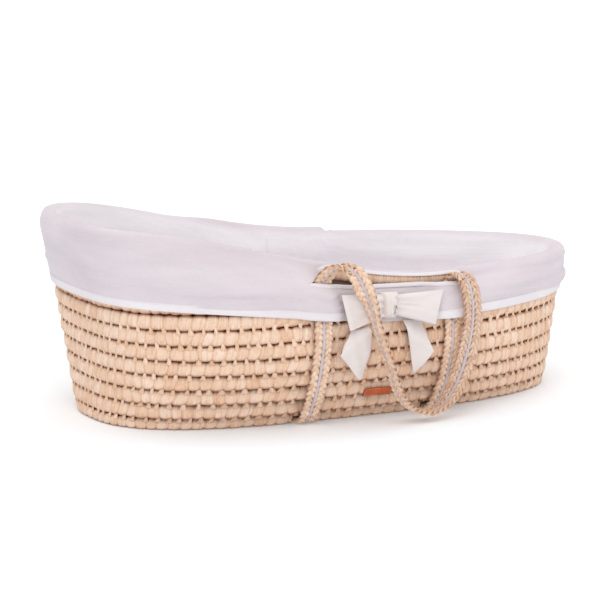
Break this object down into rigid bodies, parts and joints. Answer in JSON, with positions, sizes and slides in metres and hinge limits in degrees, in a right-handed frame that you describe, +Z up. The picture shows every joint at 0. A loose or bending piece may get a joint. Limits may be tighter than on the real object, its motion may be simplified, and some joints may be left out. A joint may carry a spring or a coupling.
{
  "type": "moses basket",
  "caption": "Oval coiled palm-leaf baby basket with a raised head end, braided carrying handles, cotton liner with a skirt, bow and label, and a foam mattress.",
  "frame": {"origin": "on the floor, under the middle of the basket's overall box", "axes": "+X towards the foot end, -X the raised head end, -Y the front with the bow, +Z up"},
  "size_m": [0.8348, 0.5538, 0.2978],
  "materials": {
    "palm_coil": "dry coiled palm leaf, matte with a slight satin sheen on the wrapped strips",
    "palm_roll": "fine palm strips wrapped round the rim, satin",
    "palm_braid": "three-strand palm-leaf braid, matte to satin",
    "strap_cord": "twisted cotton cord, off-white to grey",
    "cotton": "plain-weave cotton, soft and matte",
    "cotton_trim": "white cotton tape and ribbon, soft and matte",
    "leather": "smooth tan leather, blank, with sewn ends",
    "mattress_cover": "white cotton cover over foam"
  },
  "bodies": {
    "basket": {"base_mat": "palm_coil", "wall_coil_01": "palm_coil", "wall_coil_02": "palm_coil", "wall_coil_03": "palm_coil", "wall_coil_04": "palm_coil", "wall_coil_05": "palm_coil", "wall_coil_06": "palm_coil", "wall_coil_07": "palm_coil", "head_coil_1": "palm_coil", "head_coil_2": "palm_coil", "head_coil_3": "palm_coil", "rim_roll": "palm_roll", "strap_head_braid_outer": "palm_braid", "strap_head_braid_inner": "palm_braid", "strap_head_cord": "strap_cord", "strap_foot_braid_outer": "palm_braid", "strap_foot_braid_inner": "palm_braid", "strap_foot_cord": "strap_cord", "liner": "cotton", "hem_tape": "cotton_trim", "slot_binding_front": "cotton_trim", "slot_binding_back": "cotton_trim", "bow_loop_head": "cotton_trim", "bow_knot": "cotton_trim", "bow_loop_foot": "cotton_trim", "bow_tail_head": "cotton_trim", "bow_tail_foot": "cotton_trim", "leather_label": "leather"},
    "mattress": {"mattress": "mattress_cover"},
    "front_handle": {"handle_front_braid_near": "palm_braid", "handle_front_braid_far": "palm_braid", "handle_front_cord": "strap_cord"},
    "back_handle": {"handle_back_braid_near": "palm_braid", "handle_back_braid_far": "palm_braid", "handle_back_cord": "strap_cord"}
  },
  "joints": [
    {"name": "front_handle_swing", "type": "hinge", "parent": "basket", "child": "front_handle", "pos_m": [-0.0705, -0.254, 0.234], "axis": [-0.98, -0.1268, 0.1536], "range_deg": [0, 180]},
    {"name": "back_handle_swing", "type": "hinge", "parent": "basket", "child": "back_handle", "pos_m": [-0.0695, 0.2545, 0.218], "axis": [0.9874, -0.1308, -0.0889], "range_deg": [0, 180]},
    {"name": "mattress_lift", "type": "slide", "parent": "basket", "child": "mattress", "axis": [0, 0, 1], "range_m": [0, 0.35]}
  ]
}
